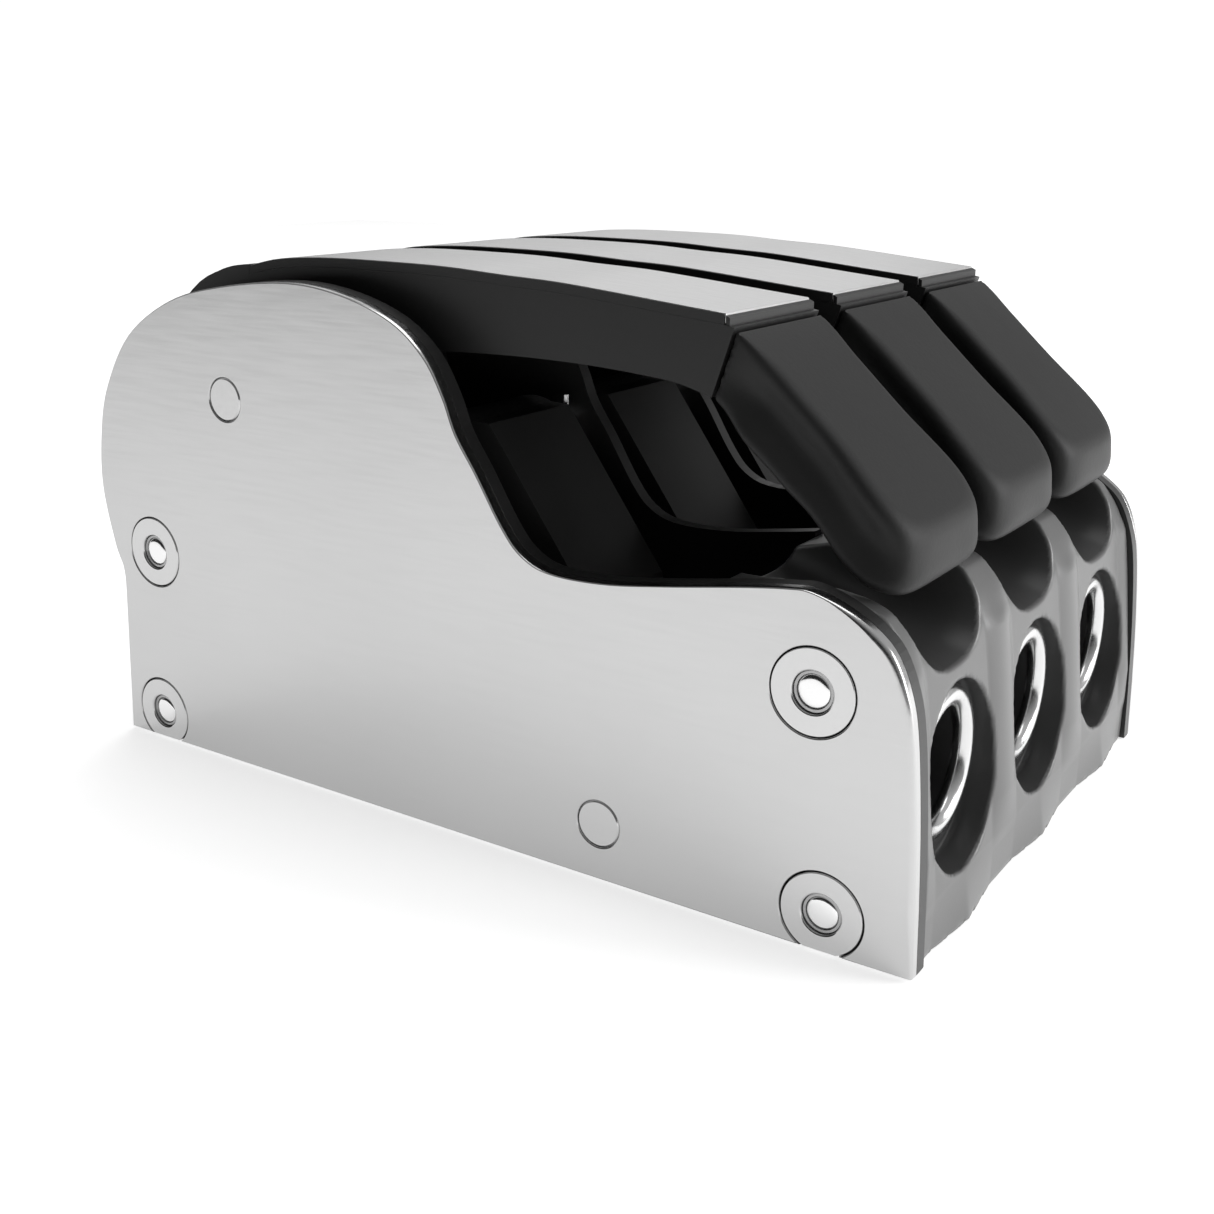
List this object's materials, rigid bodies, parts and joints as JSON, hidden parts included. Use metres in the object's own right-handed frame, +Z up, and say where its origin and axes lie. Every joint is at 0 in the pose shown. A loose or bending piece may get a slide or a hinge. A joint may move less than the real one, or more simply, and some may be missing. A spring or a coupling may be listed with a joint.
{
  "type": "triple rope clutch",
  "caption": "Deck rope clutch: side-by-side rope cells between polished side plates, each with a hinged lever handle, toothed cam, anvil and rope guide rings.",
  "frame": {"origin": "middle of the flat base, on the deck plane", "axes": "+X along the ropes towards the handle tips, +Y across the cells, +Z up from the deck"},
  "size_m": [0.1609, 0.105, 0.0893],
  "materials": {
    "side_plate": "polished",
    "black_body": "satin",
    "front_moulding": "satin",
    "guide_chrome": "polished",
    "steel": "satin",
    "rod_steel": "polished",
    "brass": "satin",
    "handle_black": "satin",
    "strip": "satin",
    "grip": "matte",
    "cam_steel": "dark"
  },
  "bodies": {
    "housing": {"side_plate_near": "side_plate", "side_plate_far": "side_plate", "liner_near": "black_body", "liner_far": "black_body", "partition_a": "black_body", "partition_b": "black_body", "front_body": "front_moulding", "rear_body": "black_body", "base_floor": "black_body", "front_ring_1": "guide_chrome", "front_ring_2": "guide_chrome", "front_ring_3": "guide_chrome", "rear_ring_1": "guide_chrome", "rear_ring_2": "guide_chrome", "rear_ring_3": "guide_chrome", "anvil_1": "steel", "anvil_2": "steel", "anvil_3": "steel", "tie_rods": "rod_steel", "collars": "side_plate", "handle_axle": "rod_steel", "lower_axle": "rod_steel", "cam_axle": "steel", "cam_spacers": "steel", "deck_inserts": "brass", "cam_spring_1": "steel", "cam_spring_2": "steel", "cam_spring_3": "steel"},
    "handle_1": {"handle_arm_1": "handle_black", "handle_strip_1": "strip", "handle_grip_1": "grip", "crank_pin_1": "steel"},
    "cam_body_1": {"cam_1": "cam_steel", "link_pin_1": "steel"},
    "link_body_1": {"cam_link_1": "steel"},
    "handle_2": {"handle_arm_2": "handle_black", "handle_strip_2": "strip", "handle_grip_2": "grip", "crank_pin_2": "steel"},
    "cam_body_2": {"cam_2": "cam_steel", "link_pin_2": "steel"},
    "link_body_2": {"cam_link_2": "steel"},
    "handle_3": {"handle_arm_3": "handle_black", "handle_strip_3": "strip", "handle_grip_3": "grip", "crank_pin_3": "steel"},
    "cam_body_3": {"cam_3": "cam_steel", "link_pin_3": "steel"},
    "link_body_3": {"cam_link_3": "steel"}
  },
  "joints": [
    {"name": "handle_hinge_1", "type": "hinge", "parent": "housing", "child": "handle_1", "pos_m": [-0.0458, -0.0325, 0.066], "axis": [0, -1, 0], "range_deg": [0, 100]},
    {"name": "cam_hinge_1", "type": "hinge", "parent": "housing", "child": "cam_body_1", "pos_m": [-0.0045, -0.0325, 0.058], "axis": [0, -1, 0], "range_deg": [0, 37.23]},
    {"name": "link_hinge_1", "type": "hinge", "parent": "cam_body_1", "child": "link_body_1", "pos_m": [-0.02262, -0.0325, 0.04226], "axis": [0, -1, 0], "range_deg": [-37.23, 0]},
    {"name": "handle_hinge_2", "type": "hinge", "parent": "housing", "child": "handle_2", "pos_m": [-0.0458, 0, 0.066], "axis": [0, -1, 0], "range_deg": [0, 100]},
    {"name": "cam_hinge_2", "type": "hinge", "parent": "housing", "child": "cam_body_2", "pos_m": [-0.0045, 0, 0.058], "axis": [0, -1, 0], "range_deg": [0, 37.23]},
    {"name": "link_hinge_2", "type": "hinge", "parent": "cam_body_2", "child": "link_body_2", "pos_m": [-0.02262, 0, 0.04226], "axis": [0, -1, 0], "range_deg": [-37.23, 0]},
    {"name": "handle_hinge_3", "type": "hinge", "parent": "housing", "child": "handle_3", "pos_m": [-0.0458, 0.0325, 0.066], "axis": [0, -1, 0], "range_deg": [0, 100]},
    {"name": "cam_hinge_3", "type": "hinge", "parent": "housing", "child": "cam_body_3", "pos_m": [-0.0045, 0.0325, 0.058], "axis": [0, -1, 0], "range_deg": [0, 37.23]},
    {"name": "link_hinge_3", "type": "hinge", "parent": "cam_body_3", "child": "link_body_3", "pos_m": [-0.02262, 0.0325, 0.04226], "axis": [0, -1, 0], "range_deg": [-37.23, 0]}
  ],
  "couplings": [
    {"joint": "cam_hinge_1", "follows": "handle_hinge_1", "ratio": 0.37227},
    {"joint": "link_hinge_1", "follows": "handle_hinge_1", "ratio": -0.37227},
    {"joint": "cam_hinge_2", "follows": "handle_hinge_2", "ratio": 0.37227},
    {"joint": "link_hinge_2", "follows": "handle_hinge_2", "ratio": -0.37227},
    {"joint": "cam_hinge_3", "follows": "handle_hinge_3", "ratio": 0.37227},
    {"joint": "link_hinge_3", "follows": "handle_hinge_3", "ratio": -0.37227}
  ]
}
